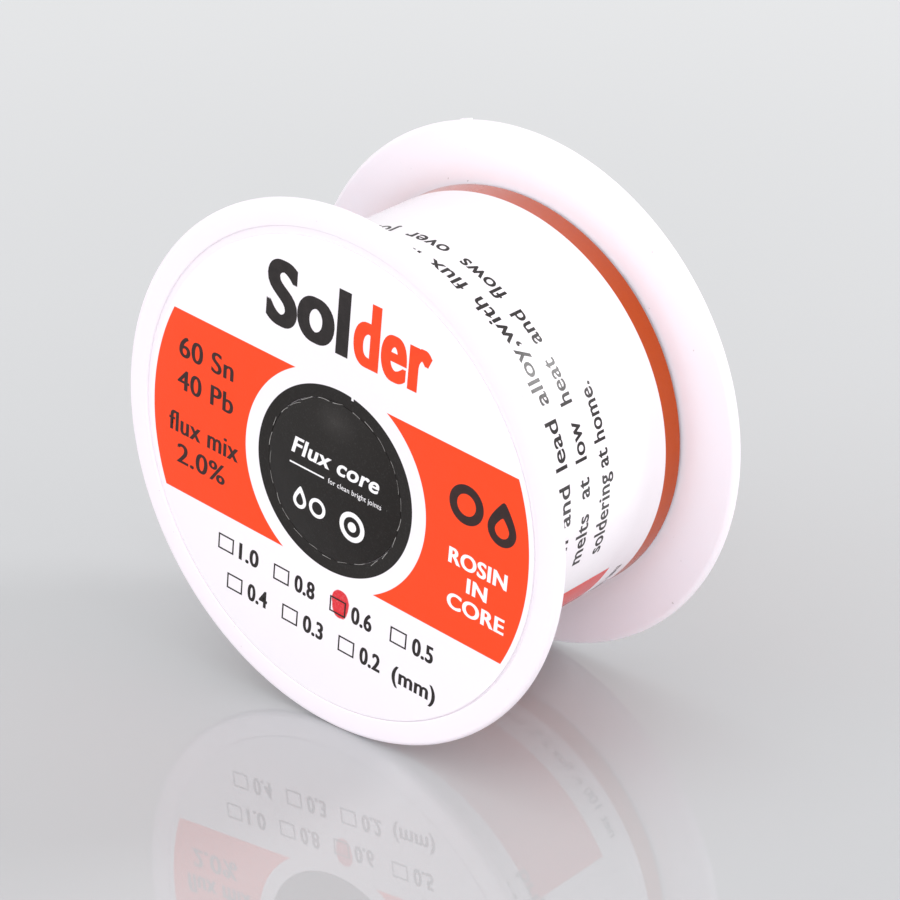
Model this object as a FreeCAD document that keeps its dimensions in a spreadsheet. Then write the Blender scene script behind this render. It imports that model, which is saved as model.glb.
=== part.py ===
import FreeCAD, Part
import math
import os
import Sketcher

# Solder wire spool: two moulded flanges on a barrel, flux-cored wire wound between them,
# a paper label in a recess on each flange and a paper wrap round the winding.
# +Y is the spool's axis, from the front flange to the rear one. The spool stands on its rims,
# with +Z up and the origin on the axis, midway between the outer faces.

driving_sizes = {
    "flange_radius": 26.0,
    "spool_width": 26.2,       # across the two lips
    "rim_thickness": 1.2,      # of a flange at its lip
    "web_thickness": 1.0,      # of a flange inside its lip
    "lip_width": 2.45,
    "rim_round": 0.5,
    "lip_round": 0.15,
    "bore_radius": 7.5,
    "barrel_radius": 9.6,
    "seat_depth": 0.4,         # how far the barrel's end sits in a flange
    "seat_clearance": 0.02,
    "wire_diameter": 0.6,
    "wire_pitch": 0.615,
    "core_diameter": 0.24,
    "winding_radius": 19.95,
    "winding_clearance": 0.02,
    "winding_side_gap": 0.2,
    "tail_turn": 250.0,        # degrees of the last, unfinished turn
    "tail_start": 60.0,
    "anchor_offset": 0.75,     # from the barrel to the middle of the anchor hole
    "anchor_radius": 0.45,
    "groove_length": 6.0,
    "groove_depth": 0.66,
    "tail_bend": 0.45,
    "tail_length": 5.2,        # of the start of the wire, along the groove
    "nib_width": 1.2,
    "nib_height": 0.12,
    "nib_thickness": 0.5,
    "label_thickness": 0.15,
    "label_margin": 0.4,       # from the label's edge to the lip
    "label_drop": 0.34,        # how far below the axis the labels are stuck
    "tear_radius": 7.95,       # of the knock-out centre of a label
    "tear_gap": 0.1,
    "centre_thickness": 0.12,
    "wrap_thickness": 0.15,
    "wrap_gap": 0.05,
    "wrap_side_gap": 0.42,
    "overlap_turn": 22.0,      # degrees of the wrap's glued overlap
}

doc = FreeCAD.newDocument("solder_wire_spool")
sheet = doc.addObject("Spreadsheet::Sheet", "sizes")
for row, (alias, value) in enumerate(driving_sizes.items(), start=1):
    sheet.set(f"A{row}", alias)
    sheet.set(f"B{row}", str(value))
    sheet.setAlias(f"B{row}", alias)
doc.recompute()

# Where things lie, as expressions of the sheet's cells.
half_width = "sizes.spool_width / 2"
inner_face = "(sizes.spool_width / 2 - sizes.rim_thickness)"
recess_floor = f"({inner_face} + sizes.web_thickness)"
seat_floor = f"({inner_face} + sizes.seat_depth)"
lip_radius = "(sizes.flange_radius - sizes.lip_width)"
label_radius = f"({lip_radius} - sizes.label_margin)"
label_face = f"({recess_floor} + sizes.label_thickness)"
wire_radius = "(sizes.wire_diameter / 2)"
turn_radius = f"(sizes.winding_radius - {wire_radius})"
winding_room = f"(2 * {inner_face} - 2 * sizes.winding_side_gap)"
turn_count = f"floor({winding_room} / sizes.wire_pitch)"
winding_half = f"({turn_count} * sizes.wire_pitch / 2)"
anchor_place = "(sizes.barrel_radius + sizes.anchor_offset)"
tail_depth = f"({recess_floor} - sizes.groove_depth + {wire_radius} + sizes.winding_clearance)"


def value_of(expression):
    return float(sheet.evalExpression(expression))


def new_body(name):
    return doc.addObject("PartDesign::Body", name)


def origin_plane(body, role):
    for feature in body.Origin.OriginFeatures:
        if feature.Role == role:
            return feature
    raise ValueError("no plane " + role)


def new_sketch(body, name, role="XY_Plane"):
    sketch = body.newObject("Sketcher::SketchObject", name)
    sketch.AttachmentSupport = [(origin_plane(body, role), "")]
    sketch.MapMode = "FlatFace"
    return sketch


def bind(sketch, constraint, name, expression):
    index = sketch.addConstraint(constraint)
    sketch.renameConstraint(index, name)
    sketch.setExpression("Constraints." + name, expression)


def corner_points(before, corner, after, radius):
    """Where a round of this radius leaves the two sides that meet at the corner."""
    back = (before - corner).normalize() * radius
    ahead = (after - corner).normalize() * radius
    return corner + back, corner + ahead, corner + back + ahead


def stepped_sketch(body, name, corners):
    """A closed outline of level and upright sides. Each corner is (across, up, round or None)."""
    sketch = new_sketch(body, name)
    points = [FreeCAD.Vector(value_of(c[0]), value_of(c[1]), 0) for c in corners]
    rounds = [0.0 if c[2] is None else value_of(c[2]) for c in corners]
    count = len(corners)
    ends = []
    for i in range(count):
        ends.append(corner_points(points[i - 1], points[i], points[(i + 1) % count], rounds[i]))
    sides = []
    for i in range(count):
        following = (i + 1) % count
        side = sketch.addGeometry(Part.LineSegment(ends[i][1], ends[following][0]), False)
        sides.append(side)
        if abs(points[i].y - points[following].y) < 1e-9:
            sketch.addConstraint(Sketcher.Constraint("Horizontal", side))
            rule = Sketcher.Constraint("DistanceY", -1, 1, side, 1, points[i].y)
            bind(sketch, rule, f"up{i}", corners[i][1])
        else:
            sketch.addConstraint(Sketcher.Constraint("Vertical", side))
            rule = Sketcher.Constraint("DistanceX", -1, 1, side, 1, points[i].x)
            bind(sketch, rule, f"across{i}", corners[i][0])
    for i in range(count):
        before, after = sides[i - 1], sides[i]
        if corners[i][2] is None:
            sketch.addConstraint(Sketcher.Constraint("Coincident", before, 2, after, 1))
            continue
        first, last, middle = ends[i]
        turns_left = (first - middle).cross(last - middle).z > 0
        start, stop = (first, last) if turns_left else (last, first)
        angles = [math.atan2(p.y - middle.y, p.x - middle.x) for p in (start, stop)]
        circle = Part.Circle(middle, FreeCAD.Vector(0, 0, 1), rounds[i])
        arc = sketch.addGeometry(Part.ArcOfCircle(circle, angles[0], angles[1]), False)
        arc_in, arc_out = (1, 2) if turns_left else (2, 1)
        sketch.addConstraint(Sketcher.Constraint("Tangent", before, 2, arc, arc_in))
        sketch.addConstraint(Sketcher.Constraint("Tangent", arc, arc_out, after, 1))
        bind(sketch, Sketcher.Constraint("Radius", arc, rounds[i]), f"round{i}", corners[i][2])
    return sketch


def circle_sketch(body, name, radii, across, up, role="XY_Plane"):
    """Circles of the given radii about one centre."""
    sketch = new_sketch(body, name, role)
    centre = FreeCAD.Vector(value_of(across), value_of(up), 0)
    for i, radius in enumerate(radii):
        size = value_of(radius)
        circle = sketch.addGeometry(Part.Circle(centre, FreeCAD.Vector(0, 0, 1), size), False)
        bind(sketch, Sketcher.Constraint("DistanceX", -1, 1, circle, 3, centre.x), f"across{i}", across)
        bind(sketch, Sketcher.Constraint("DistanceY", -1, 1, circle, 3, centre.y), f"up{i}", up)
        bind(sketch, Sketcher.Constraint("Radius", circle, size), f"radius{i}", radius)
    return sketch


def spin(body, name, sketch, turn=None):
    """Revolve a sketch about the spool's axis, all the way round or through a bound angle."""
    feature = body.newObject("PartDesign::Revolution", name)
    feature.Profile = sketch
    feature.ReferenceAxis = (sketch, ["V_Axis"])
    feature.Angle = 360.0
    if turn is not None:
        feature.setExpression("Angle", turn)
    return feature


def about_axis(degrees):
    return FreeCAD.Placement(FreeCAD.Vector(), FreeCAD.Rotation(FreeCAD.Vector(0, 1, 0), degrees))


facing_back = FreeCAD.Placement(FreeCAD.Vector(), FreeCAD.Rotation(FreeCAD.Vector(0, 0, 1), 180))


def ring_corners(inside, outside, low, high):
    return [(inside, low, None), (outside, low, None), (outside, high, None), (inside, high, None)]


def flange(name, placement):
    """A flange: a web with a bore and a seat for the barrel, and a rounded lip round the label."""
    body = new_body(name)
    seat_radius = "sizes.barrel_radius + sizes.seat_clearance"
    outline = stepped_sketch(body, name + "_outline", [
        ("sizes.bore_radius", f"-{recess_floor}", None),
        (lip_radius, f"-{recess_floor}", None),
        (lip_radius, f"-{half_width}", "sizes.lip_round"),
        ("sizes.flange_radius", f"-{half_width}", "sizes.rim_round"),
        ("sizes.flange_radius", f"-{inner_face}", "sizes.rim_round"),
        (seat_radius, f"-{inner_face}", None),
        (seat_radius, f"-{seat_floor}", None),
        ("sizes.bore_radius", f"-{seat_floor}", None),
    ])
    spin(body, name + "_disc", outline)

    # the gate nib, left on the rim where the plastic flowed in
    nib_middle = f"({inner_face} + {half_width}) / 2"
    nib = stepped_sketch(body, name + "_nib_outline", [
        (f"{lip_radius}", f"-({nib_middle}) - sizes.nib_thickness / 2", None),
        ("sizes.flange_radius + sizes.nib_height", f"-({nib_middle}) - sizes.nib_thickness / 2", None),
        ("sizes.flange_radius + sizes.nib_height", f"-({nib_middle}) + sizes.nib_thickness / 2", None),
        (f"{lip_radius}", f"-({nib_middle}) + sizes.nib_thickness / 2", None),
    ])
    nib_pad = body.newObject("PartDesign::Pad", name + "_nib")
    nib_pad.Profile = nib
    nib_pad.SideType = "Symmetric"
    nib_pad.setExpression("Length", "sizes.nib_width")

    # the hole and the groove that hold the start of the wire, under the label
    groove_corners = [
        (f"-{anchor_place} - sizes.groove_length", f"-{recess_floor} - sizes.label_thickness", None),
        (f"-{anchor_place}", f"-{recess_floor} - sizes.label_thickness", None),
        (f"-{anchor_place}", f"-{recess_floor} + sizes.groove_depth", None),
        (f"-{anchor_place} - sizes.groove_length", f"-{recess_floor} + sizes.groove_depth", None),
    ]
    groove_outline = stepped_sketch(body, name + "_groove_outline", groove_corners)
    groove = body.newObject("PartDesign::Pocket", name + "_groove")
    groove.Profile = groove_outline
    groove.SideType = "Symmetric"
    groove.setExpression("Length", "2 * sizes.anchor_radius")
    hole_outline = circle_sketch(
        body, name + "_anchor_outline", ["sizes.anchor_radius"], f"-{anchor_place}", "0", "XZ_Plane")
    hole = body.newObject("PartDesign::Pocket", name + "_anchor_hole")
    hole.Profile = hole_outline
    hole.SideType = "Symmetric"
    hole.setExpression("Length", "2 * sizes.spool_width")
    body.Placement = placement
    return body


def barrel(name):
    """The tube that joins the flanges and carries the winding, with the spindle's bore."""
    body = new_body(name)
    outline = stepped_sketch(body, name + "_outline", ring_corners(
        "sizes.bore_radius", "sizes.barrel_radius", f"-{seat_floor}", seat_floor))
    spin(body, name + "_tube", outline)
    return body


def winding(name):
    """The wound wire: layers up to the last one, whose turns show as ridges."""
    body = new_body(name)
    inside = "sizes.barrel_radius + sizes.winding_clearance"
    last_turn = f"{winding_half} - sizes.wire_pitch"
    under_tail = f"{turn_radius} - {wire_radius} - sizes.winding_clearance"
    outline = stepped_sketch(body, name + "_outline", [
        (inside, f"-{winding_half}", None),
        (turn_radius, f"-{winding_half}", None),
        (turn_radius, last_turn, None),
        (under_tail, last_turn, None),
        (under_tail, winding_half, None),
        (inside, winding_half, None),
    ])
    spin(body, name + "_layers", outline)
    first_turn = f"-{winding_half} + sizes.wire_pitch / 2"
    section = circle_sketch(body, name + "_turn_section", [wire_radius], turn_radius, first_turn)
    turn = spin(body, name + "_turn", section)
    rows = body.newObject("PartDesign::LinearPattern", name + "_turns")
    rows.Originals = [turn]
    rows.Direction = (section, ["V_Axis"])
    rows.setExpression("Length", f"({turn_count} - 2) * sizes.wire_pitch")
    rows.setExpression("Occurrences", f"{turn_count} - 1")
    body.Tip = rows
    return body


def end_tail(name, radii):
    """The last, unfinished turn of the wire, beside the rear flange, or the flux inside it."""
    body = new_body(name)
    place = f"{winding_half} - sizes.wire_pitch / 2"
    section = circle_sketch(body, name + "_section", radii, turn_radius, place)
    spin(body, name + "_arc", section, "sizes.tail_turn")
    body.Placement = about_axis(value_of("sizes.tail_start"))
    return body


def start_tail(name, radii):
    """The start of the wire, through the rear flange and along its groove, or the flux inside it."""
    body = new_body(name)
    path = new_sketch(body, name + "_path")
    place = value_of(anchor_place)
    low = value_of(winding_half)
    bend = value_of("sizes.tail_bend")
    depth = value_of(tail_depth)
    reach = value_of("sizes.tail_length")
    rise = path.addGeometry(Part.LineSegment(
        FreeCAD.Vector(place, low, 0), FreeCAD.Vector(place, depth - bend, 0)), False)
    middle = FreeCAD.Vector(place + bend, depth - bend, 0)
    circle = Part.Circle(middle, FreeCAD.Vector(0, 0, 1), bend)
    elbow = path.addGeometry(Part.ArcOfCircle(circle, math.pi / 2, math.pi), False)
    run = path.addGeometry(Part.LineSegment(
        FreeCAD.Vector(place + bend, depth, 0), FreeCAD.Vector(place + reach, depth, 0)), False)
    path.addConstraint(Sketcher.Constraint("Vertical", rise))
    path.addConstraint(Sketcher.Constraint("Horizontal", run))
    path.addConstraint(Sketcher.Constraint("Tangent", rise, 2, elbow, 2))
    path.addConstraint(Sketcher.Constraint("Tangent", elbow, 1, run, 1))
    bind(path, Sketcher.Constraint("DistanceX", -1, 1, rise, 1, place), "place", anchor_place)
    bind(path, Sketcher.Constraint("DistanceY", -1, 1, rise, 1, low), "low", winding_half)
    bind(path, Sketcher.Constraint("Radius", elbow, bend), "bend", "sizes.tail_bend")
    bind(path, Sketcher.Constraint("DistanceY", -1, 1, run, 1, depth), "depth", tail_depth)
    far_end = f"{anchor_place} + sizes.tail_length"
    bind(path, Sketcher.Constraint("DistanceX", -1, 1, run, 2, place + reach), "reach", far_end)
    section = circle_sketch(body, name + "_section", radii, anchor_place, "0", "XZ_Plane")
    section.setExpression("AttachmentOffset.Base.z", f"-{winding_half}")
    tube = body.newObject("PartDesign::AdditivePipe", name + "_tube")
    tube.Profile = section
    tube.Spine = (path, ["Edge1", "Edge2", "Edge3"])
    body.Placement = about_axis(rear_gate - 180)
    return body


def label_ring(name, placement):
    """A round label, from its edge in to the tear line of its centre."""
    body = new_body(name)
    outline = stepped_sketch(body, name + "_outline", ring_corners(
        "sizes.tear_radius + sizes.tear_gap", label_radius, f"-{label_face}", f"-{recess_floor}"))
    spin(body, name + "_paper", outline)
    body.Placement = placement
    return body


def label_centre(name, placement):
    """The knock-out centre of a label, which folds out of the bore's way."""
    body = new_body(name)
    outline = circle_sketch(body, name + "_outline", ["sizes.tear_radius"], "0", "0", "XZ_Plane")
    outline.setExpression("AttachmentOffset.Base.z", f"{label_face} - sizes.centre_thickness")
    paper = body.newObject("PartDesign::Pad", name + "_paper")
    paper.Profile = outline
    paper.setExpression("Length", "sizes.centre_thickness")
    body.Placement = placement
    return body


def wrap_label(name):
    """The paper wrap round the winding, glued to itself where its ends overlap."""
    body = new_body(name)
    inside = "sizes.winding_radius + sizes.wrap_gap"
    outside = f"{inside} + sizes.wrap_thickness"
    edge = f"{inner_face} - sizes.wrap_side_gap"
    outline = stepped_sketch(body, name + "_outline", ring_corners(inside, outside, f"-({edge})", edge))
    spin(body, name + "_paper", outline)
    overlap = stepped_sketch(body, name + "_overlap_outline", ring_corners(
        f"{inside} + sizes.wrap_thickness / 2", f"{outside} + sizes.wrap_thickness", f"-({edge})", edge))
    spin(body, name + "_overlap", overlap, "sizes.overlap_turn")
    body.Placement = about_axis(seam_place)
    return body


seam_place = 150.0            # degrees about +Y, on the left, low down
front_gate = -35.0            # where each flange's gate nib stands, about +Y
rear_gate = -104.0

below_axis = FreeCAD.Placement(FreeCAD.Vector(0, 0, -value_of("sizes.label_drop")), FreeCAD.Rotation())
front_turn = about_axis(front_gate)
rear_turn = about_axis(rear_gate - 180).multiply(facing_back)
pieces = [
    flange("front_flange", front_turn),
    flange("rear_flange", rear_turn),
    barrel("hub_barrel"),
    winding("solder_winding"),
    start_tail("wire_start_tail", [wire_radius, "sizes.core_diameter / 2"]),
    start_tail("wire_start_core", ["sizes.core_diameter / 2"]),
    end_tail("wire_end_tail", [wire_radius, "sizes.core_diameter / 2"]),
    end_tail("wire_end_core", ["sizes.core_diameter / 2"]),
    wrap_label("wrap_label"),
    label_ring("front_label", below_axis),
    label_centre("front_label_centre", below_axis),
    label_ring("rear_label", below_axis.multiply(facing_back)),
    label_centre("rear_label_centre", below_axis.multiply(facing_back)),
]
doc.recompute()

for item in doc.Objects:
    if "Invalid" in item.State or "Error" in item.State:
        raise RuntimeError(item.Name + " failed: " + str(item.State))

os.makedirs("parts", exist_ok=True)
for piece in pieces:
    shape = piece.Shape
    if shape.isNull() or not shape.isValid():
        raise RuntimeError(piece.Label + " has no valid shape")
    shape.exportStep("parts/" + piece.Label + ".step")
    box = shape.BoundBox
    print(f"{piece.Label:20s} {shape.Volume:10.3f} mm3, solids {len(shape.Solids)}, "
          f"y {box.YMin:.2f} to {box.YMax:.2f}, z {box.ZMin:.2f} to {box.ZMax:.2f}")
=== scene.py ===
import math
import random

import bmesh
import bpy
from mathutils import Euler, Matrix, Vector


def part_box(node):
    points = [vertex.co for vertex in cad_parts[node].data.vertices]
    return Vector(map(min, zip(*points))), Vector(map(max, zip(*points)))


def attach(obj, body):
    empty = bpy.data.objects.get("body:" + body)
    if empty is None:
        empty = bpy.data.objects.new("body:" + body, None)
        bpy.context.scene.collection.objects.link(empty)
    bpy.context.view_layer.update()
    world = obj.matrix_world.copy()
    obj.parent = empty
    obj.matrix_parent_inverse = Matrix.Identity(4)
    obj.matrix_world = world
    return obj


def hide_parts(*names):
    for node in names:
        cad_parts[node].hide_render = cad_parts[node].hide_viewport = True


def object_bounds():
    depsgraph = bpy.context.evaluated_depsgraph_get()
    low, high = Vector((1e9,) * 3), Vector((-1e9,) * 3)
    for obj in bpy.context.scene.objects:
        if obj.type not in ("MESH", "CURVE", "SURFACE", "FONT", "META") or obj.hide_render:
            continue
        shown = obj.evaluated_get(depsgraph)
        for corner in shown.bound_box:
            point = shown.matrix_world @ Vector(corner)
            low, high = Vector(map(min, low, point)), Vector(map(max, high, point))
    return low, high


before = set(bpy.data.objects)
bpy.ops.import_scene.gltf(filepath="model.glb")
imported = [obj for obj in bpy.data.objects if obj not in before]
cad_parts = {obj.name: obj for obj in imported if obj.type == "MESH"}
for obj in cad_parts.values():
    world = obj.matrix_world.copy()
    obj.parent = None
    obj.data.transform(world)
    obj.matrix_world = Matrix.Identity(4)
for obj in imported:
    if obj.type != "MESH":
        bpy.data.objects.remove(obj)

mm = 0.001
scene = bpy.context.scene
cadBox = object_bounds()
weld = 0.0001 * mm                # corners closer than this become one


# shader sums

class Signal:
    def __init__(self, finish, socket):
        self.finish = finish
        self.socket = socket

    def __add__(self, other):
        return self.finish.sum("ADD", self, other)

    def __sub__(self, other):
        return self.finish.sum("SUBTRACT", self, other)

    def __rsub__(self, other):
        return self.finish.sum("SUBTRACT", other, self)

    def __mul__(self, other):
        return self.finish.sum("MULTIPLY", self, other)

    def __truediv__(self, other):
        return self.finish.sum("DIVIDE", self, other)

    def __abs__(self):
        return self.finish.sum("ABSOLUTE", self)

    __radd__ = __add__
    __rmul__ = __mul__


class Finish:
    def __init__(self, name, shaderValues):
        self.material = bpy.data.materials.new(name)
        self.material.use_nodes = True
        self.tree = self.material.node_tree
        self.shader = self.tree.nodes["Principled BSDF"]
        for socketName, value in shaderValues.items():
            self.feed(self.shader.inputs[socketName], value)

    def feed(self, socket, value):
        if isinstance(value, Signal):
            self.tree.links.new(value.socket, socket)
        else:
            socket.default_value = value

    def add(self, kind, settings=None, sockets=None, output=0):
        node = self.tree.nodes.new(kind)
        for setting, value in (settings or {}).items():
            setattr(node, setting, value)
        for socketName, value in (sockets or {}).items():
            self.feed(node.inputs[socketName], value)
        return Signal(self, node.outputs[output])

    def sum(self, operation, *values):
        return self.add("ShaderNodeMath", {"operation": operation}, dict(enumerate(values)))

    def above(self, value, edge, blur):  # 0 under the edge, 1 over it
        ramp = (value - edge) / blur + 0.5
        ramp.socket.node.use_clamp = True
        return ramp

    def coords(self, centre=(0, 0, 0), turn=(0, 0, 0)):
        spot = self.add("ShaderNodeTexCoord", output="Object")
        return self.add("ShaderNodeMapping", {"vector_type": "TEXTURE"},
                        {"Vector": spot, "Location": centre, "Rotation": turn})

    def split(self, spot):
        node = self.add("ShaderNodeSeparateXYZ", None, {"Vector": spot}).socket.node
        return [Signal(self, socket) for socket in node.outputs]

    def noise(self, spot, grain, detail=3.0, contrast=0.5):  # grain is the size of one blotch
        return self.add("ShaderNodeTexNoise", None,
                        {"Vector": spot, "Scale": 1 / grain, "Detail": detail, "Roughness": contrast})

    def mix(self, amount, under, over):
        return self.add("ShaderNodeMix", {"data_type": "RGBA"}, {0: amount, 6: under, 7: over}, 2)

    def finishWith(self, colour, roughness, height, depth):
        self.feed(self.shader.inputs["Base Color"], colour)
        self.feed(self.shader.inputs["Roughness"], roughness)
        bump = self.add("ShaderNodeBump", None, {"Height": height, "Distance": depth, "Strength": 1.0})
        self.feed(self.shader.inputs["Normal"], bump)
        return self.material


# mesh helpers

def ringOutline(corners, centre=(0, 0, 0)):  # corners are (radius, place along the axle, rounding)
    bm = bmesh.new()
    spots = [bm.verts.new((radius, along, 0)) for radius, along, rounding in corners]
    for here, after in zip(spots, spots[1:] + spots[:1]):
        bm.edges.new((here, after))
    for spot, (radius, along, rounding) in zip(spots, corners):
        if rounding:
            bmesh.ops.bevel(bm, geom=[spot], offset=rounding, offset_type="OFFSET",
                            affect="VERTICES", segments=5, profile=0.5, material=-1)
    bmesh.ops.translate(bm, verts=bm.verts, vec=centre)
    return bm


def spinRing(corners, centre=(0, 0, 0), steps=256):
    bm = ringOutline(corners, centre)
    bmesh.ops.spin(bm, geom=bm.verts[:] + bm.edges[:], cent=centre, axis=(0, 1, 0),
                   angle=math.tau, steps=steps, use_merge=True)
    bmesh.ops.recalc_face_normals(bm, faces=bm.faces)
    return bm


def gather(whole, part, place=Matrix()):
    part.transform(place)
    carrier = bpy.data.meshes.new("carrier")
    part.to_mesh(carrier)
    whole.from_mesh(carrier)
    bpy.data.meshes.remove(carrier)
    part.free()


def cutAway(bm, cutter):  # uses up both, and gives back the cut shape
    pair = []
    for part in (bm, cutter):
        mesh = bpy.data.meshes.new("cutting")
        part.to_mesh(mesh)
        part.free()
        pair.append(bpy.data.objects.new("cutting", mesh))
        scene.collection.objects.link(pair[-1])
    cut = pair[0].modifiers.new("cut", "BOOLEAN")
    cut.operation, cut.solver, cut.object = "DIFFERENCE", "EXACT", pair[1]
    current = bpy.context.evaluated_depsgraph_get()
    shaped = bpy.data.meshes.new_from_object(pair[0].evaluated_get(current))
    whole = bmesh.new()
    whole.from_mesh(shaped)
    for mesh in (pair[0].data, pair[1].data, shaped):
        bpy.data.meshes.remove(mesh)  # takes the object that uses it along
    return whole


def makePiece(name, bm, body, material, replaced=()):
    creaseAngle = math.radians(32)
    bmesh.ops.remove_doubles(bm, verts=bm.verts, dist=weld)
    for face in bm.faces:
        face.smooth = True
    for edge in bm.edges:
        edge.smooth = len(edge.link_faces) == 2 and edge.calc_face_angle() < creaseAngle
    mesh = bpy.data.meshes.new(name)
    bm.to_mesh(mesh)
    bm.free()
    mesh.materials.append(material)
    piece = bpy.data.objects.new(name, mesh)
    scene.collection.objects.link(piece)
    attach(piece, body)
    if replaced:
        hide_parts(*replaced)
    print("made", name, len(mesh.polygons), "faces")
    return piece


def outerRadius(node):
    low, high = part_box(node)
    return max(high.x, -low.x)


# white plastic: the two flanges and the hub barrel

plastic = {
    "colour": (0.845, 0.798, 0.862, 1),
    "warmer": (0.850, 0.788, 0.835, 1),
    "speck": (0.42, 0.36, 0.37, 1),
    "speckShare": 0.765,              # noise over this is a speck
    "speckStrength": 0.55,
    "roughness": 0.34,
    "cloudSize": 9 * mm,
    "rippleSize": 1.3 * mm,
    "grainSize": 0.12 * mm,
    "speckSize": 0.55 * mm,
    "relief": 0.02 * mm,
}


def whitePlastic():
    finish = Finish("white_moulding", {"Specular IOR Level": 0.5, "Subsurface Weight": 0.12,
                                       "Subsurface Radius": (1.0, 0.8, 0.8), "Subsurface Scale": 1.2 * mm})
    spot = finish.coords()
    cloud = finish.noise(spot, plastic["cloudSize"], 2)
    ripple = finish.noise(spot, plastic["rippleSize"], 3)
    grain = finish.noise(spot, plastic["grainSize"], 2)
    dust = finish.noise(spot, plastic["speckSize"], 2, 0.7)
    specks = finish.above(dust, plastic["speckShare"], 0.02) * plastic["speckStrength"]
    colour = finish.mix(cloud, plastic["colour"], plastic["warmer"])
    colour = finish.mix(specks, colour, plastic["speck"])
    height = ripple * 0.7 + grain * 0.15 - specks
    return finish.finishWith(colour, plastic["roughness"] + ripple * 0.10, height, plastic["relief"])


flanges = {
    "rimRound": 0.5 * mm,
    "lipWidth": 2.45 * mm,
    "lipRound": 0.15 * mm,
    "lipHeight": 0.2 * mm,
    "boreRadius": 7.5 * mm,
    "seatGap": 0.02 * mm,
    "gate": (1.2 * mm, 0.5 * mm, 0.13 * mm),      # width, thickness, how far it stands off the rim
    "gateLength": 1.2 * mm,                       # most of it lies inside the rim
    "gateRound": 0.05 * mm,
    "gateTurn": {"front": 35, "rear": 104},       # degrees from +X towards +Z
    "anchorRadius": 0.45 * mm,                    # the hole and groove for the wire's start
    "anchorOffset": 0.75 * mm,
    "grooveLength": 6 * mm,
    "grooveDepth": 0.66 * mm,
    "holeLength": 5 * mm,                         # longer than the web is thick
    "barrelRound": 0.1 * mm,
}


def gateNib(middle, radius, turn):
    width, thickness, stand = flanges["gate"]
    bm = bmesh.new()
    bmesh.ops.create_cube(bm, size=1)
    bmesh.ops.scale(bm, verts=bm.verts, vec=(flanges["gateLength"], thickness, width))
    bmesh.ops.bevel(bm, geom=bm.edges[:], offset=flanges["gateRound"], affect="EDGES", segments=2,
                    profile=0.5, material=-1)
    bmesh.ops.translate(bm, verts=bm.verts, vec=(radius + stand - flanges["gateLength"] / 2, middle, 0))
    bm.transform(Matrix.Rotation(-math.radians(turn), 4, "Y"))
    return bm


def anchorCutters(side, recessFloor):  # a groove along a radius, and the hole at its inner end
    radius = flanges["anchorRadius"]
    start = outerRadius("hub_barrel") + flanges["anchorOffset"]
    turned = Matrix.Rotation(-math.radians(flanges["gateTurn"][side] + 180), 4, "Y")
    groove = bmesh.new()
    bmesh.ops.create_cube(groove, size=1)
    bmesh.ops.scale(groove, verts=groove.verts,
                    vec=(flanges["grooveLength"], 2 * flanges["grooveDepth"], 2 * radius))
    groove.transform(turned @ Matrix.Translation((start + flanges["grooveLength"] / 2, recessFloor, 0)))
    hole = bmesh.new()
    bmesh.ops.create_cone(hole, cap_ends=True, segments=24, radius1=radius, radius2=radius,
                          depth=flanges["holeLength"])
    hole.transform(turned @ Matrix.Translation((start, recessFloor, 0))
                   @ Matrix.Rotation(math.pi / 2, 4, "X"))
    return groove, hole


def makeFlange(side, material):
    node = side + "_flange"
    low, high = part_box(node)
    faceOut, faceIn = (low.y, high.y) if side == "front" else (high.y, low.y)
    outwards = math.copysign(1, faceOut)
    radius = outerRadius(node)
    barrelLow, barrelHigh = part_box("hub_barrel")
    seatFloor = barrelLow.y if side == "front" else barrelHigh.y
    seatRadius = outerRadius("hub_barrel") + flanges["seatGap"]
    recess = faceOut - outwards * flanges["lipHeight"]
    lipInner = radius - flanges["lipWidth"]
    bm = spinRing([
        (flanges["boreRadius"], recess, 0),
        (lipInner, recess, 0),
        (lipInner, faceOut, flanges["lipRound"]),
        (radius, faceOut, flanges["rimRound"]),
        (radius, faceIn, flanges["rimRound"]),
        (seatRadius, faceIn, 0),
        (seatRadius, seatFloor, 0),
        (flanges["boreRadius"], seatFloor, 0),
    ], steps=320)
    for cutter in anchorCutters(side, recess):
        bm = cutAway(bm, cutter)
    gather(bm, gateNib((faceIn + faceOut) / 2, radius, flanges["gateTurn"][side]))
    return makePiece(side + "_flange_moulding", bm, "spool", material, [node])


def makeBarrel(material):
    low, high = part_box("hub_barrel")
    edge = flanges["barrelRound"]
    bm = spinRing([
        (flanges["boreRadius"], low.y, edge), (outerRadius("hub_barrel"), low.y, edge),
        (outerRadius("hub_barrel"), high.y, edge), (flanges["boreRadius"], high.y, edge),
    ], steps=128)
    return makePiece("hub_barrel_tube", bm, "spool", material, ["hub_barrel"])


# solder: the wound turns, and the carried-over tails

wire = {
    "metal": (0.62, 0.62, 0.61, 1),
    "paleMetal": (0.74, 0.74, 0.72, 1),
    "scuffed": (0.42, 0.42, 0.42, 1),
    "scuffSize": 0.5 * mm,
    "hazeSize": 4 * mm,
    "metalRelief": 0.01 * mm,
    "rosin": (0.55, 0.27, 0.05, 1),
    "paleRosin": (0.72, 0.42, 0.12, 1),
    "rosinCloud": 0.15 * mm,
    "rosinRelief": 0.005 * mm,
}


def solderMetal():
    finish = Finish("tin_lead_wire", {"Metallic": 1.0})
    spot = finish.coords()
    scuff = finish.noise(spot, wire["scuffSize"], 4, 0.6)
    haze = finish.noise(spot, wire["hazeSize"], 2)
    colour = finish.mix(haze, wire["metal"], wire["paleMetal"])
    colour = finish.mix(finish.above(scuff, 0.62, 0.1) * 0.4, colour, wire["scuffed"])
    return finish.finishWith(colour, 0.26 + scuff * 0.22, scuff, wire["metalRelief"])


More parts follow.
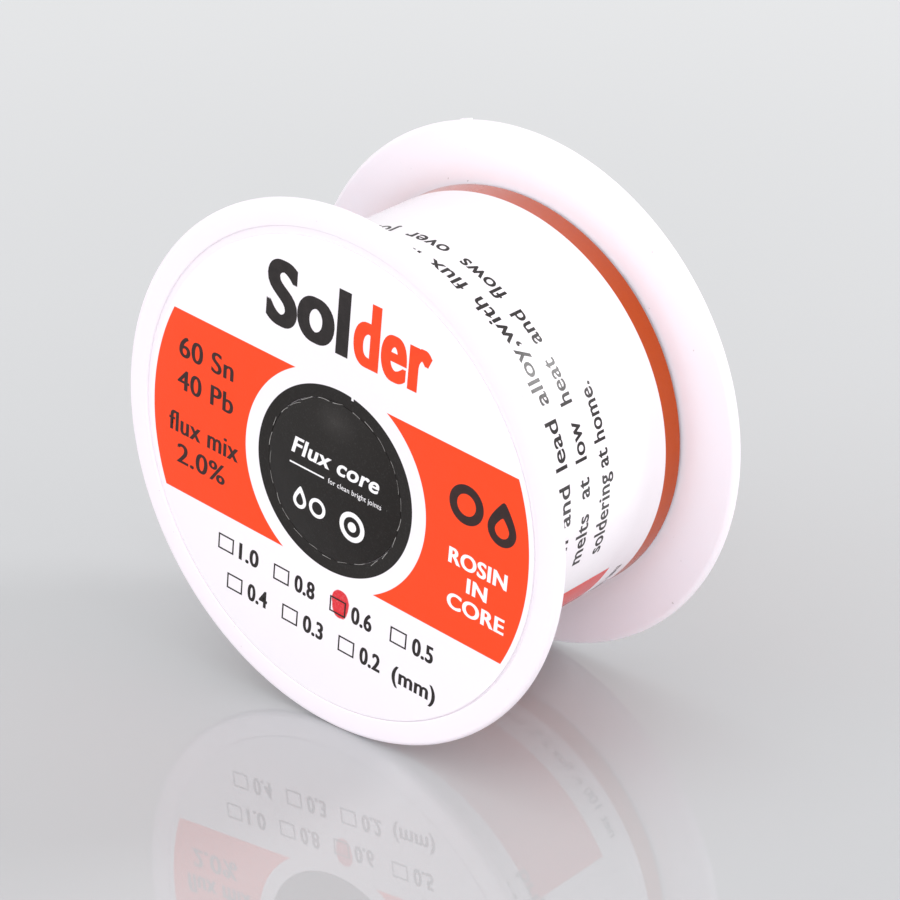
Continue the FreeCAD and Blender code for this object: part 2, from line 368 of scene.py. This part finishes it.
def rosinAmber():
    finish = Finish("rosin_core", {"Coat Weight": 0.4, "Coat Roughness": 0.2, "IOR": 1.53})
    cloud = finish.noise(finish.coords(), wire["rosinCloud"], 3)
    colour = finish.mix(cloud, wire["rosin"], wire["paleRosin"])
    return finish.finishWith(colour, 0.22 + cloud * 0.2, cloud, wire["rosinRelief"])


winding = {
    "wireRadius": 0.3 * mm,
    "pitch": 0.615 * mm,
    "stepsPerTurn": 72,
    "barrelGap": 0.02 * mm,
    "wireSides": 8,
    "underShare": 0.9,               # how deep the solid under the turns starts, in wire radii
    "shoulder": 0.3 * mm,
}


def makeWinding(material):
    low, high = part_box("solder_winding")
    turnRadius = outerRadius("solder_winding") - winding["wireRadius"]
    firstTurn = low.y + winding["pitch"] / 2
    turns = round((high.y - low.y) / winding["pitch"]) - 2      # the last place holds the wire's end
    turn = bmesh.new()
    bmesh.ops.create_circle(turn, segments=winding["wireSides"], radius=winding["wireRadius"])
    bmesh.ops.translate(turn, verts=turn.verts, vec=(turnRadius, firstTurn, 0))
    bmesh.ops.spin(turn, geom=turn.verts[:] + turn.edges[:], cent=(0, 0, 0), axis=(0, 1, 0),
                   dvec=(0, winding["pitch"] / winding["stepsPerTurn"], 0),
                   angle=math.tau, steps=winding["stepsPerTurn"])
    bm = bmesh.new()
    for number in range(turns):
        gather(bm, turn.copy(), Matrix.Translation((0, number * winding["pitch"], 0)))
    turn.free()
    bmesh.ops.remove_doubles(bm, verts=bm.verts, dist=0.001 * mm)
    bmesh.ops.holes_fill(bm, edges=[edge for edge in bm.edges if edge.is_boundary])
    bmesh.ops.recalc_face_normals(bm, faces=bm.faces)
    underTurns = turnRadius - winding["wireRadius"] * winding["underShare"]
    shoulder = winding["shoulder"]
    innerRadius = outerRadius("hub_barrel") + winding["barrelGap"]
    gather(bm, spinRing([
        (innerRadius, low.y, 0), (underTurns, low.y, shoulder),
        (underTurns, high.y, shoulder), (innerRadius, high.y, 0),
    ], steps=160))
    return makePiece("wound_solder", bm, "spool", material, ["solder_winding"])


# print: lettering and small signs, made flat with their left foot at the origin

printing = {
    "thickness": 0.016 * mm,      # the whole film of ink
    "sunk": 0.006 * mm,           # how much of it lies inside the paper
    "capShare": 0.682,            # capital height of the built-in face at size 1
    "curveSteps": 8,
    "copyStep": 0.11 * mm,        # heavier letters are copies this far apart
    "copyRise": 0.001 * mm,       # and each a little higher, so that they don't share a face
    "letterGap": 1.06,
    "letterWeld": 0.0005,         # at size 1
    "signSides": 48,
    "dropTip": 1.9,               # how far the inner tip draws back, in line widths
    "dropNarrow": 0.55,
    "dropCurve": 1.2,
}


def lettering(words, height, width=None, weight=0.0, slant=0.0, wordGap=1.0, smear=0.0):
    curve = bpy.data.curves.new("lettering", "FONT")
    curve.body = words
    curve.size = 1 / printing["capShare"]
    curve.extrude = 0.5
    curve.offset = weight
    curve.shear = slant
    curve.space_word = wordGap
    curve.space_character = printing["letterGap"]
    curve.resolution_u = printing["curveSteps"]
    holder = bpy.data.objects.new("lettering", curve)
    flat = bpy.data.meshes.new_from_object(holder)
    bm = bmesh.new()
    bm.from_mesh(flat)
    bpy.data.objects.remove(holder)
    bpy.data.curves.remove(curve)
    bpy.data.meshes.remove(flat)
    bmesh.ops.remove_doubles(bm, verts=bm.verts, dist=printing["letterWeld"])
    left = min(vert.co.x for vert in bm.verts)
    right = max(vert.co.x for vert in bm.verts)
    across = (width - smear) / (right - left) if width else height
    bmesh.ops.translate(bm, verts=bm.verts, vec=(-left, 0, 0))
    bmesh.ops.scale(bm, verts=bm.verts, vec=(across, height, printing["thickness"]))
    if not smear:
        return bm
    copies = max(1, round(smear / printing["copyStep"]))
    whole = bmesh.new()  # copies side by side make the upright strokes heavier
    for number in range(copies + 1):
        shift = smear * number / copies
        gather(whole, bm.copy(), Matrix.Translation((shift, 0, number * printing["copyRise"])))
    bm.free()
    return whole


def thicken(bm):  # a flat shape becomes a closed film of ink
    made = bmesh.ops.extrude_face_region(bm, geom=bm.faces[:])
    raised = [part for part in made["geom"] if isinstance(part, bmesh.types.BMVert)]
    bmesh.ops.translate(bm, verts=raised, vec=(0, 0, printing["thickness"]))
    bmesh.ops.translate(bm, verts=bm.verts, vec=(0, 0, -printing["thickness"] / 2))
    bmesh.ops.recalc_face_normals(bm, faces=bm.faces)
    return bm


def oblong(width, height):
    bm = bmesh.new()
    bmesh.ops.create_grid(bm, x_segments=1, y_segments=1, size=0.5)
    bmesh.ops.scale(bm, verts=bm.verts, vec=(width, height, 1))
    bmesh.ops.translate(bm, verts=bm.verts, vec=(width / 2, height / 2, 0))
    return bm


def barSign(width, height):
    return thicken(oblong(width, height))


def frameSign(width, height, line):
    bm = oblong(width, height)
    inner = bm.faces[:]
    bmesh.ops.inset_individual(bm, faces=inner, thickness=line, use_even_offset=True)
    bmesh.ops.delete(bm, geom=inner, context="FACES")
    return thicken(bm)


def ringSign(radius, line):
    bm = bmesh.new()
    bmesh.ops.create_circle(bm, cap_ends=True, segments=printing["signSides"], radius=radius)
    inner = bm.faces[:]
    if line < radius:
        bmesh.ops.inset_individual(bm, faces=inner, thickness=line, use_even_offset=True)
        bmesh.ops.delete(bm, geom=inner, context="FACES")
    return thicken(bm)


def dropSign(radius, tip, line):
    bm = bmesh.new()
    for bulge, top in ((radius, tip), (radius - line, tip - printing["dropTip"] * line)):
        loop = bmesh.ops.create_circle(bm, segments=printing["signSides"], radius=bulge)["verts"]
        for vert in loop:
            rise = max(vert.co.y / bulge, 0)
            vert.co.x *= 1 - printing["dropNarrow"] * rise * rise
            if rise:
                vert.co.y = top * rise ** printing["dropCurve"]
    bmesh.ops.bridge_loops(bm, edges=bm.edges[:])
    return thicken(bm)


def placed(across, up):
    return Matrix.Translation((across, up, 0))


film = {"blotchSize": 0.8 * mm, "grainSize": 0.07 * mm, "grainStrength": 0.35, "relief": 0.006 * mm}


def inkFilm(name, colour, mottle, roughness=0.32, shine=0.28):
    finish = Finish(name, {"Specular IOR Level": shine})
    spot = finish.coords()
    blotch = finish.noise(spot, film["blotchSize"], 4, 0.65)
    grain = finish.noise(spot, film["grainSize"], 2)
    tone = finish.mix(finish.above(blotch, 0.55, 0.35), colour, mottle)
    tone = finish.mix(finish.above(grain, 0.66, 0.1) * film["grainStrength"], tone, mottle)
    return finish.finishWith(tone, roughness + blotch * 0.12, grain, film["relief"])


# labels on the two ends

labels = {
    "roll": 6,                       # degrees clockwise, as the label was stuck on
    "tearGap": 0.04 * mm,
    "discRadius": 9.3 * mm,          # the black disc
    "blockInner": 10.9 * mm,         # the two coloured blocks
    "blockOuter": 22.63 * mm,
    "blockTop": 9.45 * mm,
    "blockBottom": -9.4 * mm,
    "blot": (1.8 * mm, -12.15 * mm, 1.02 * mm, 1.45 * mm),      # the marker blot: place, half sizes
    "blotSquare": 2.4,               # 2 is an ellipse, more is squarer
    "blotRoot": 0.42,
    "blotWobble": (1.1 * mm, 0.35),  # size, strength
    "nick": (1.45 * mm, 9.2 * mm, 0.13 * mm, 0.3 * mm),         # bare paper in the disc's edge, likewise
    "inkDepth": 0.114 * mm,          # ink reaches this far into the cuts
    "inkEdge": 0.03 * mm,            # blur of every printed edge
    "cutRound": 0.03 * mm,
    "flapRound": 0.025 * mm,
    "glarePlace": (-0.3 * mm, 5.9 * mm),      # where a painted highlight, a grey glare on the bulge over the bore, lies
    "glareEdge": (1.3 * mm, 2.6 * mm),        # radius, blur
    "glareFlatness": 1.7,
    "glareStrength": 0.09,
    "fibreSize": 0.16 * mm,
    "cloudSize": 5 * mm,
    "relief": 0.012 * mm,
    "white": (0.855, 0.820, 0.868, 1),
    "whiteFibre": (0.78, 0.75, 0.78, 1),
    "orange": (0.96, 0.060, 0.010, 1),
    "orangeFibre": (0.86, 0.050, 0.009, 1),
    "black": (0.008, 0.006, 0.005, 1),
    "blackFibre": (0.030, 0.028, 0.027, 1),
    # painted highlight: the grey of the glare on the black disc
    "paintedGlare": (0.24, 0.225, 0.215, 1),
    "dust": (0.55, 0.54, 0.53, 1),
    "marker": (0.64, 0.014, 0.024, 1),
}


def labelFrame(side):  # flat print, x right and y up, onto that end's label
    low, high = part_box(side + "_label")
    face = low.y if side == "front" else -high.y
    turn = 0 if side == "front" else math.pi
    return (Matrix.Rotation(turn, 4, "Z")
            @ Matrix.Translation((0, face, (low.z + high.z) / 2))
            @ Matrix.Rotation(math.pi / 2, 4, "X")
            @ Matrix.Rotation(-math.radians(labels["roll"]), 4, "Z")
            @ Matrix.Translation((0, 0, printing["thickness"] / 2 - printing["sunk"])))


def labelPaper(name, side, isCentre):
    low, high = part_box(side + "_label")
    faceOut = max(-low.y, high.y)
    turn = 0 if side == "front" else math.pi
    finish = Finish(name, {"Specular IOR Level": 0.25})
    spot = finish.coords((0, 0, (low.z + high.z) / 2), (0, math.radians(labels["roll"]), turn))
    across, along, up = finish.split(spot)
    reach = finish.sum("SQRT", across * across + up * up)
    printedSide = finish.above(abs(along), faceOut - labels["inkDepth"], 0.004 * mm)
    edge = labels["inkEdge"]
    fibre = finish.noise(spot, labels["fibreSize"], 4, 0.6)
    cloud = finish.noise(spot, labels["cloudSize"], 3)
    grain = finish.noise(spot, 0.05 * mm, 2)
    colour = finish.mix(fibre * 0.25, labels["white"], labels["whiteFibre"])
    black = finish.mix(finish.above(fibre, 0.62, 0.12) * 0.5, labels["black"], labels["blackFibre"])
    if isCentre:
        # painted highlight: a soft grey glare in patches on the black over the bore
        glareX, glareY = across - labels["glarePlace"][0], up - labels["glarePlace"][1]
        glareReach = finish.sum("SQRT", glareX * glareX + glareY * glareY * labels["glareFlatness"])
        patches = 0.2 + finish.noise(spot, 0.9 * mm, 4, 0.7)
        paintedGlare = (1 - finish.above(glareReach, *labels["glareEdge"])) * patches
        black = finish.mix(paintedGlare * labels["glareStrength"], black, labels["paintedGlare"])
        dust = finish.noise(spot, 0.34 * mm, 2, 0.8)
        black = finish.mix(finish.above(dust, 0.78, 0.02) * 0.5, black, labels["dust"])
        colour = finish.mix(printedSide, colour, black)
    else:
        orange = finish.mix(fibre * 0.30, labels["orange"], labels["orangeFibre"])
        block = (finish.above(reach, labels["blockInner"], edge)
                 * (1 - finish.above(reach, labels["blockOuter"], edge))
                 * (1 - finish.above(up, labels["blockTop"], edge))
                 * finish.above(up, labels["blockBottom"], edge))
        colour = finish.mix(block * printedSide, colour, orange)
        disc = 1 - finish.above(reach, labels["discRadius"], edge)
        nickX, nickY, nickWide, nickTall = labels["nick"]
        nick = ((1 - finish.above(abs(across - nickX), nickWide, edge))
                * (1 - finish.above(abs(up - nickY), nickTall, edge)))
        colour = finish.mix(disc * (1 - nick) * printedSide, colour, black)
        if side == "front":
            blotX, blotY, blotWide, blotTall = labels["blot"]
            wobbleSize, wobbleStrength = labels["blotWobble"]
            wobble = finish.noise(spot, wobbleSize, 2) - 0.5
            square = labels["blotSquare"]
            blotReach = finish.sum("POWER", finish.sum("POWER", abs(across - blotX) / blotWide, square)
                                   + finish.sum("POWER", abs(up - blotY) / blotTall, square),
                                   labels["blotRoot"])
            blot = 1 - finish.above(blotReach + wobble * wobbleStrength, 1.0, 0.09)
            colour = finish.mix(blot * (0.82 + fibre * 0.3), colour, labels["marker"])
    roughness = 0.30 + fibre * 0.14
    return finish.finishWith(colour, roughness, fibre + cloud * 6 + grain * 0.4, labels["relief"])


def makeLabel(side, material):
    node = side + "_label"
    low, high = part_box(node)
    hole = outerRadius(node + "_centre") + labels["tearGap"]
    edge = labels["cutRound"]
    bm = spinRing([(hole, low.y, edge), (outerRadius(node), low.y, edge),
                   (outerRadius(node), high.y, edge), (hole, high.y, edge)],
                  (0, 0, (low.z + high.z) / 2), 256)
    return makePiece(side + "_label_ring", bm, "spool", material, [node])


def makeFlap(side, material):
    node = side + "_label_centre"
    low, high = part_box(node)
    radius = outerRadius(node)
    bm = bmesh.new()
    bmesh.ops.create_cone(bm, cap_ends=True, segments=160, radius1=radius, radius2=radius,
                          depth=high.y - low.y)
    caps = [face for face in bm.faces if len(face.verts) > 4]
    rims = [edge for face in caps for edge in face.edges]
    bmesh.ops.bevel(bm, geom=rims, offset=labels["flapRound"], affect="EDGES", segments=2,
                    profile=0.5, material=-1)
    bm.transform(Matrix.Translation((0, (low.y + high.y) / 2, (low.z + high.z) / 2))
                 @ Matrix.Rotation(math.pi / 2, 4, "X"))
    return makePiece(side + "_label_flap", bm, side + "_centre", material, [node])


tear = {
    "cuts": 26,
    "length": 1.5 * mm,
    "width": 0.060 * mm,
    "seed": 11,
    "shortest": 0.6,                 # shares of the length and the width
    "thinnest": 0.6,
    "widest": 1.15,
    "hook": 0.22,                    # mm, how far one end bends away from the cut
    "offCut": 0.12,                  # mm
    "offPlace": 0.12,                # share of a step round the ring
    "tilt": 0.05,                    # radians
    "ragged": 0.1,
}


def makePerforation(side, material):  # torn paper along the cuts round the flap
    radius = outerRadius(side + "_label_centre") + labels["tearGap"] / 2
    chance = random.Random(tear["seed"])
    whole = bmesh.new()
    for cut in range(tear["cuts"]):
        length = tear["length"] * chance.uniform(tear["shortest"], 1.0)
        bm = bmesh.new()
        bmesh.ops.create_grid(bm, x_segments=5, y_segments=1, size=0.5)
        width = tear["width"] * chance.uniform(tear["thinnest"], tear["widest"])
        bmesh.ops.scale(bm, verts=bm.verts, vec=(length, width, 1))
        hook = chance.uniform(-tear["hook"], tear["hook"]) * mm
        for vert in bm.verts:
            share = vert.co.x / length
            vert.co.y += radius * (math.cos(vert.co.x / radius) - 1) + hook * (share + 0.5) ** 2
            vert.co.y *= 1 - tear["ragged"] * abs(share) * chance.random()
        thicken(bm)
        reach = radius + chance.uniform(-tear["offCut"], tear["offCut"]) * mm
        turn = math.tau * (cut + chance.uniform(-tear["offPlace"], tear["offPlace"])) / tear["cuts"]
        gather(whole, bm, labelFrame(side) @ Matrix.Rotation(turn, 4, "Z") @ placed(0, reach)
               @ Matrix.Rotation(chance.uniform(-tear["tilt"], tear["tilt"]), 4, "Z"))
    return makePiece(side + "_label_perforation", whole, "spool", material)


endPrint = {
    # lettering: words, place right and up of the label's middle, height, width, all in mm
    "title": [("Sol", -9.4, 12.95, 6.05, 9.9), ("der", 1.05, 12.95, 6.05, 9.0)],
    "alloy": [("60 Sn", -19.72, 4.75, 2.10, 6.9), ("40 Pb", -19.75, 1.35, 2.05, 7.1),
              ("flux mix", -20.6, -3.30, 2.05, 8.9), ("2.0%", -19.4, -6.40, 2.00, 6.2)],
    "core": [("ROSIN", 13.75, -1.90, 1.52, 6.7), ("IN", 16.05, -4.10, 1.45, 2.35),
             ("CORE", 14.0, -6.42, 1.52, 6.6)],
    "sizes": [("1.0", -13.58, -13.2), ("0.8", -6.51, -13.3), ("0.6", 0.54, -13.4), ("0.5", 7.91, -13.2),
              ("0.4", -12.22, -16.98), ("0.3", -5.16, -17.05), ("0.2", 1.89, -17.1)],
    "box": (1.97, 1.66, 0.17),
    "number": (2.66, 1.70, 2.5),      # how far right of the box's left side, height, width
    "unit": ("(mm)", 8.5, -17.1, 1.62, 5.2),
    "flap": ("Flux core", -5.3, 0.95, 1.62, 10.6),
    "flapSlant": 0.22,
    "flapSmall": ("for clean bright joints", -0.7, -0.42, 0.52, 6.4),
    # how heavy each lettering is: outline weight, then smear in mm
    "heft": {"black": (0.030, 0.45), "orange": (0.030, 0.34), "alloy": (0.0, 0.15), "core": (0.022, 0.10),
             "sizes": (0.022, 0.10), "unit": (0.022, 0.08), "flap": (0.024, 0.06), "flapSmall": (0.0, 0.0)},
    # signs: sizes in mm, then place
    "blockRing": ((1.95, 0.88), 15.2, 4.45),
    "blockDrop": ((1.62, 2.75, 0.82), 19.3, 3.75),
    "flapBar": ((4.2, 0.16), -5.4, -0.25),
    "flapDrop": ((0.8, 1.5, 0.36), -3.9, -3.75),
    "flapRings": [((1.0, 0.36), -1.75, -3.6), ((1.5, 0.5), 2.5, -3.65), ((0.5, 1), 2.5, -3.65)],
}


def makeEndPrint(side, inks):
    frameOn = labelFrame(side)

    def piece(name, shapes, ink, body="spool", slot="label_paper"):
        whole = bmesh.new()
        for shape, across, up in shapes:
            gather(whole, shape, frameOn @ placed(across * mm, up * mm))
        makePiece(side + "_" + name, whole, body, inks[ink])

    def words(rows, heft, slant=0.0):
        weight, smear = endPrint["heft"][heft]
        return [(lettering(text, height * mm, width * mm, weight, slant, 1.0, smear * mm), across, up)
                for text, across, up, height, width in rows]

    def sign(shape, row):
        sizes, across, up = row
        return [(shape(*[size * mm for size in sizes]), across, up)]

    piece("title_black", words(endPrint["title"][:1], "black"), "dark")
    piece("title_orange", words(endPrint["title"][1:], "orange"), "orange")
    piece("alloy_lines", words(endPrint["alloy"], "alloy"), "brown")
    piece("core_lines", words(endPrint["core"], "core"), "pale")
    blockSigns = sign(ringSign, endPrint["blockRing"]) + sign(dropSign, endPrint["blockDrop"])
    piece("block_signs", blockSigns, "brown")
    shift, numberTall, numberWide = endPrint["number"]
    sizeList = []
    for number, across, up in endPrint["sizes"]:
        sizeList += sign(frameSign, (endPrint["box"], across, up))
        sizeList += words([(number, across + shift, up, numberTall, numberWide)], "sizes")
    sizeList += words([endPrint["unit"]], "unit")
    piece("size_list", sizeList, "dark")

    flap = words([endPrint["flap"]], "flap", endPrint["flapSlant"])
    flap += words([endPrint["flapSmall"]], "flapSmall")
    flap += sign(barSign, endPrint["flapBar"]) + sign(dropSign, endPrint["flapDrop"])
    for row in endPrint["flapRings"]:
        flap += sign(ringSign, row)
    piece("flap_print", flap, "pale", side + "_centre", "label_centre_print")


# wrap: a flat strip of paper bent round the winding, glued over its own end

wrap = {
    "overlap": 22,                   # degrees
    "freeEdge": -150,                # where the outer end lies, degrees from +X towards +Z
    "climb": 5,                      # degrees over which the paper rises on to its own start
    "thickness": 0.15 * mm,
    "stripe": 2.15 * mm,             # from the paper's edge to the inner side of the band
    "cutEdge": 0.03 * mm,            # bare paper outside the band
    "blockStart": -31,               # the coloured block underneath, degrees
    "blockEnd": -118,
    "blockHalfWidth": 5.15 * mm,
    "edgeRound": 0.03 * mm,
    "stepsRound": 300,
    "inkEdge": 0.03 * mm,            # blur of the printed edges across the paper
    "inkEdgeTurn": 0.002,            # and along it, radians
    "polishTop": 0.85,               # the band's ink gets glossier round this height, in wrap radii
    "polishBlur": 0.4,
    "fibreSize": 0.18 * mm,
    "cloudSize": 6 * mm,
    "relief": 0.006 * mm,
    "white": (0.83, 0.795, 0.835, 1),
    "whiteFibre": (0.75, 0.72, 0.74, 1),
    "band": (0.44, 0.064, 0.005, 1),
    "bandFibre": (0.40, 0.048, 0.005, 1),
    "block": (0.72, 0.045, 0.035, 1),
    "blockFibre": (0.62, 0.038, 0.03, 1),
}


def wrapRadius():
    return outerRadius("wrap_label")


def bendRound(bm, radius):  # flat x runs round the axle, flat y towards the front, z outwards
    for vert in bm.verts:
        turn = vert.co.x / radius
        reach = radius + vert.co.z
        vert.co = (reach * math.cos(turn), -vert.co.y, reach * math.sin(turn))
    bmesh.ops.recalc_face_normals(bm, faces=bm.faces)


def wrapPaper():
    finish = Finish("wrap_paper_printed", {"Specular IOR Level": 0.22, "Coat Roughness": 0.16})
    spot = finish.coords()
    across, along, up = finish.split(spot)
    turn = finish.sum("ARCTAN2", up, across)
    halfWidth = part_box("wrap_label")[1].y
    edge, edgeTurn = wrap["inkEdge"], wrap["inkEdgeTurn"]
    fibre = finish.noise(spot, wrap["fibreSize"], 4, 0.6)
    cloud = finish.noise(spot, wrap["cloudSize"], 3)
    colour = finish.mix(fibre * 0.25, wrap["white"], wrap["whiteFibre"])
    band = (finish.above(abs(along), halfWidth - wrap["stripe"], edge)
            * (1 - finish.above(abs(along), halfWidth - wrap["cutEdge"], edge)))
    colour = finish.mix(band, colour, finish.mix(fibre, wrap["band"], wrap["bandFibre"]))
    polish = finish.above(up, wrap["polishTop"] * wrapRadius(), wrap["polishBlur"] * wrapRadius())
    finish.feed(finish.shader.inputs["Coat Weight"], band * polish)
    block = ((1 - finish.above(turn, math.radians(wrap["blockStart"]), edgeTurn))
             * finish.above(turn, math.radians(wrap["blockEnd"]), edgeTurn)
             * (1 - finish.above(abs(along), wrap["blockHalfWidth"], edge)))
    colour = finish.mix(block, colour, finish.mix(fibre, wrap["block"], wrap["blockFibre"]))
    return finish.finishWith(colour, 0.16 + fibre * 0.12, fibre + cloud * 10, wrap["relief"])


def makeWrap(material):
    low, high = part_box("wrap_label")
    middle = wrapRadius() - wrap["thickness"] / 2
    length = math.radians(360 + wrap["overlap"]) * middle
    end = math.radians(wrap["freeEdge"] + 360) * middle
    climbLength = math.radians(wrap["climb"]) * middle
    climbEnd = end - math.radians(wrap["overlap"]) * middle
    bm = bmesh.new()
    bmesh.ops.create_cube(bm, size=1)
    bmesh.ops.scale(bm, verts=bm.verts, vec=(length, high.y - low.y, wrap["thickness"]))
    bmesh.ops.translate(bm, verts=bm.verts, vec=(end - length / 2, 0, 0))
    bmesh.ops.bevel(bm, geom=bm.edges[:], offset=wrap["edgeRound"], affect="EDGES", segments=1,
                    profile=0.5, material=-1)
    long = [edge for edge in bm.edges if abs(edge.verts[0].co.x - edge.verts[1].co.x) > length / 2]
    bmesh.ops.subdivide_edges(bm, edges=long, cuts=wrap["stepsRound"], use_grid_fill=True)
    for vert in bm.verts:  # an even climb from one layer to two
        rise = min(max((vert.co.x - climbEnd) / climbLength + 1, 0), 1)
        vert.co.z += wrap["thickness"] * rise * rise * (3 - 2 * rise)
    bendRound(bm, middle)
    return makePiece("wrap_sheet", bm, "spool", material, ["wrap_label"])


wrapPrint = {
    # words, first degree, last degree, baseline towards the front in mm, gap between words
    "lines": [("bright tin and lead alloy,with flux in its core", -40, 118, 4.34, 1.5),
              ("melts at low heat and flows over joints", -18.75, 112, 1.66, 2.2),
              ("soldering at home.", -18.75, 29.7, -1.18, 1.0)],
    "height": 1.50,
    "weight": 0.016,
    "smallLines": [("net 100 g, flux 2 %, keep dry", -34, -92, -7.0), ("0.6 mm wire", -34, -60, 8.0)],
    "smallHeight": 1.1,
    "smallWeight": 0.01,
    "smear": 0.05 * mm,
    "slice": 0.4 * mm,               # bent print is cut this fine
}


def bentLine(words, first, last, baseline, height, weight, gap):
    radius = wrapRadius()
    start, stop = math.radians(first) * radius, math.radians(last) * radius
    bm = lettering(words, height * mm, abs(stop - start), weight, 0.0, gap, wrapPrint["smear"])
    if stop < start:  # it reads the other way round
        bm.transform(Matrix.Rotation(math.pi, 4, "Z"))
    bmesh.ops.translate(bm, verts=bm.verts,
                        vec=(start, baseline * mm, printing["thickness"] / 2 - printing["sunk"]))
    cut = min(start, stop)
    while cut < max(start, stop):
        bmesh.ops.bisect_plane(bm, geom=bm.verts[:] + bm.edges[:] + bm.faces[:],
                               plane_co=(cut, 0, 0), plane_no=(1, 0, 0), dist=weld)
        cut += wrapPrint["slice"]
    bendRound(bm, radius)
    return bm


def makeWrapPrint(inks):
    whole = bmesh.new()
    height, weight = wrapPrint["height"], wrapPrint["weight"]
    for words, first, last, baseline, gap in wrapPrint["lines"]:
        gather(whole, bentLine(words, first, last, baseline, height, weight, gap))
    makePiece("wrap_lines", whole, "spool", inks["glossy"])
    whole = bmesh.new()
    height, weight = wrapPrint["smallHeight"], wrapPrint["smallWeight"]
    for words, first, last, baseline in wrapPrint["smallLines"]:
        gather(whole, bentLine(words, first, last, baseline, height, weight, 1.0))
    makePiece("wrap_small_lines", whole, "spool", inks["glossy"])


# build

moulding = whitePlastic()
for side in ("front", "rear"):
    makeFlange(side, moulding)
makeBarrel(moulding)
print("plastic done")

solder = solderMetal()
rosin = rosinAmber()
makeWinding(solder)
for node, material, slot in (("wire_start_tail", solder, "solder"), ("wire_end_tail", solder, "solder"),
                             ("wire_start_core", rosin, "rosin"), ("wire_end_core", rosin, "rosin")):
    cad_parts[node].data.materials.clear()
    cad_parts[node].data.materials.append(material)
print("wire done")

inks = {
    "dark": inkFilm("dark_ink", (0.010, 0.007, 0.007, 1), (0.020, 0.015, 0.015, 1)),
    "brown": inkFilm("dark_ink_on_orange", (0.020, 0.008, 0.008, 1), (0.034, 0.012, 0.010, 1)),
    "glossy": inkFilm("dark_ink_on_wrap", (0.010, 0.007, 0.007, 1), (0.020, 0.015, 0.015, 1), 0.24, 0.42),
    "orange": inkFilm("orange_ink", (0.96, 0.060, 0.010, 1), (0.86, 0.050, 0.009, 1)),
    "pale": inkFilm("bare_paper_white", (0.90, 0.89, 0.91, 1), (0.80, 0.79, 0.81, 1)),
}
tornPaper = inkFilm("torn_paper", (0.36, 0.35, 0.34, 1), (0.12, 0.115, 0.11, 1), 0.6)
for side in ("front", "rear"):
    makeLabel(side, labelPaper(side + "_label_paper", side, False))
    makeFlap(side, labelPaper(side + "_flap_paper", side, True))
    makePerforation(side, tornPaper)
    makeEndPrint(side, inks)
print("labels done")

makeWrap(wrapPaper())
makeWrapPrint(inks)
print("wrap done")


# stage, lights and camera

stage = {
    # painted light and shade: the floor colour is darker near and brighter far
    "floorNearShaded": (0.405, 0.412, 0.425, 1),
    "floorFarLit": (0.635, 0.643, 0.653, 1),
    "paintedLightRamp": (-0.1, 0.3),          # painted light: between these distances from the axle the floor's colour is painted brighter
    "paintedLightWay": 40.7,              # degrees from +Y towards -X
    "floorSize": 4.0,
    "floorCloud": 0.25,
    "floorRelief": 0.000005,
    "world": 0.80,
    # name, place, width and height, watts, colour; each is turned towards the spool
    "lights": [("overhead", (-0.15, -0.15, 0.85), (1.3, 1.3), 4.0, (1, 1, 1)),
               ("front_left", (-0.5, -0.8, 0.30), (0.6, 0.5), 2.2, (0.98, 0.98, 1)),
               ("front_right", (0.6, -0.75, 0.18), (0.8, 0.4), 4.3, (1, 0.97, 0.98)),
               ("right", (0.85, 0.10, 0.16), (0.5, 0.3), 1.6, (1, 0.97, 0.98)),
               ("rear_right", (0.48, 0.60, 0.36), (0.24, 0.26), 2.8, (1, 1, 1))],
}


def makeFloor():
    bm = bmesh.new()
    bmesh.ops.create_grid(bm, x_segments=1, y_segments=1, size=stage["floorSize"] / 2)
    bmesh.ops.translate(bm, verts=bm.verts, vec=(0, 0, cadBox[0].z))
    mesh = bpy.data.meshes.new("floor")
    bm.to_mesh(mesh)
    bm.free()
    finish = Finish("pale_floor", {"Specular IOR Level": 0.8})
    spot = finish.coords((0, 0, 0), (0, 0, math.radians(stage["paintedLightWay"])))
    cloud = finish.noise(spot, stage["floorCloud"], 3)
    away = finish.split(spot)[1]
    nearEnd, farEnd = stage["paintedLightRamp"]
    # painted light: the floor's colour brightens with distance along that way
    share = finish.above(away, (nearEnd + farEnd) / 2, farEnd - nearEnd)
    colour = finish.mix(share, stage["floorNearShaded"], stage["floorFarLit"])
    mesh.materials.append(finish.finishWith(colour, 0.005 + cloud * 0.012, cloud, stage["floorRelief"]))
    floor = bpy.data.objects.new("floor", mesh)
    scene.collection.objects.link(floor)


def softbox(name, place, size, power, colour):
    lamp = bpy.data.lights.new(name, "AREA")
    lamp.shape = "RECTANGLE"
    lamp.size, lamp.size_y = size
    lamp.energy = power
    lamp.color = colour
    holder = bpy.data.objects.new(name, lamp)
    holder.location = place
    holder.rotation_euler = (-Vector(place)).to_track_quat("-Z", "Y").to_euler()
    scene.collection.objects.link(holder)


makeFloor()
for light in stage["lights"]:
    softbox(*light)

world = bpy.data.worlds.new("studio")
world.use_nodes = True
sky = world.node_tree.nodes["Background"]
sky.inputs["Color"].default_value = (1, 1, 1, 1)
sky.inputs["Strength"].default_value = stage["world"]
scene.world = world
scene.view_settings.view_transform = "Standard"

camera = {
    "place": (0.18935, -0.21727, 0.13970),
    "turn": (63.81, 0, 40.70),
    "lens": 139.3,
}
lens = bpy.data.cameras.new("camera")
lens.lens = camera["lens"]
lens.clip_start, lens.clip_end = 0.01, 20
holder = bpy.data.objects.new("camera", lens)
holder.location = camera["place"]
holder.rotation_euler = Euler([math.radians(angle) for angle in camera["turn"]])
scene.collection.objects.link(holder)
scene.camera = holder
print("stage done")
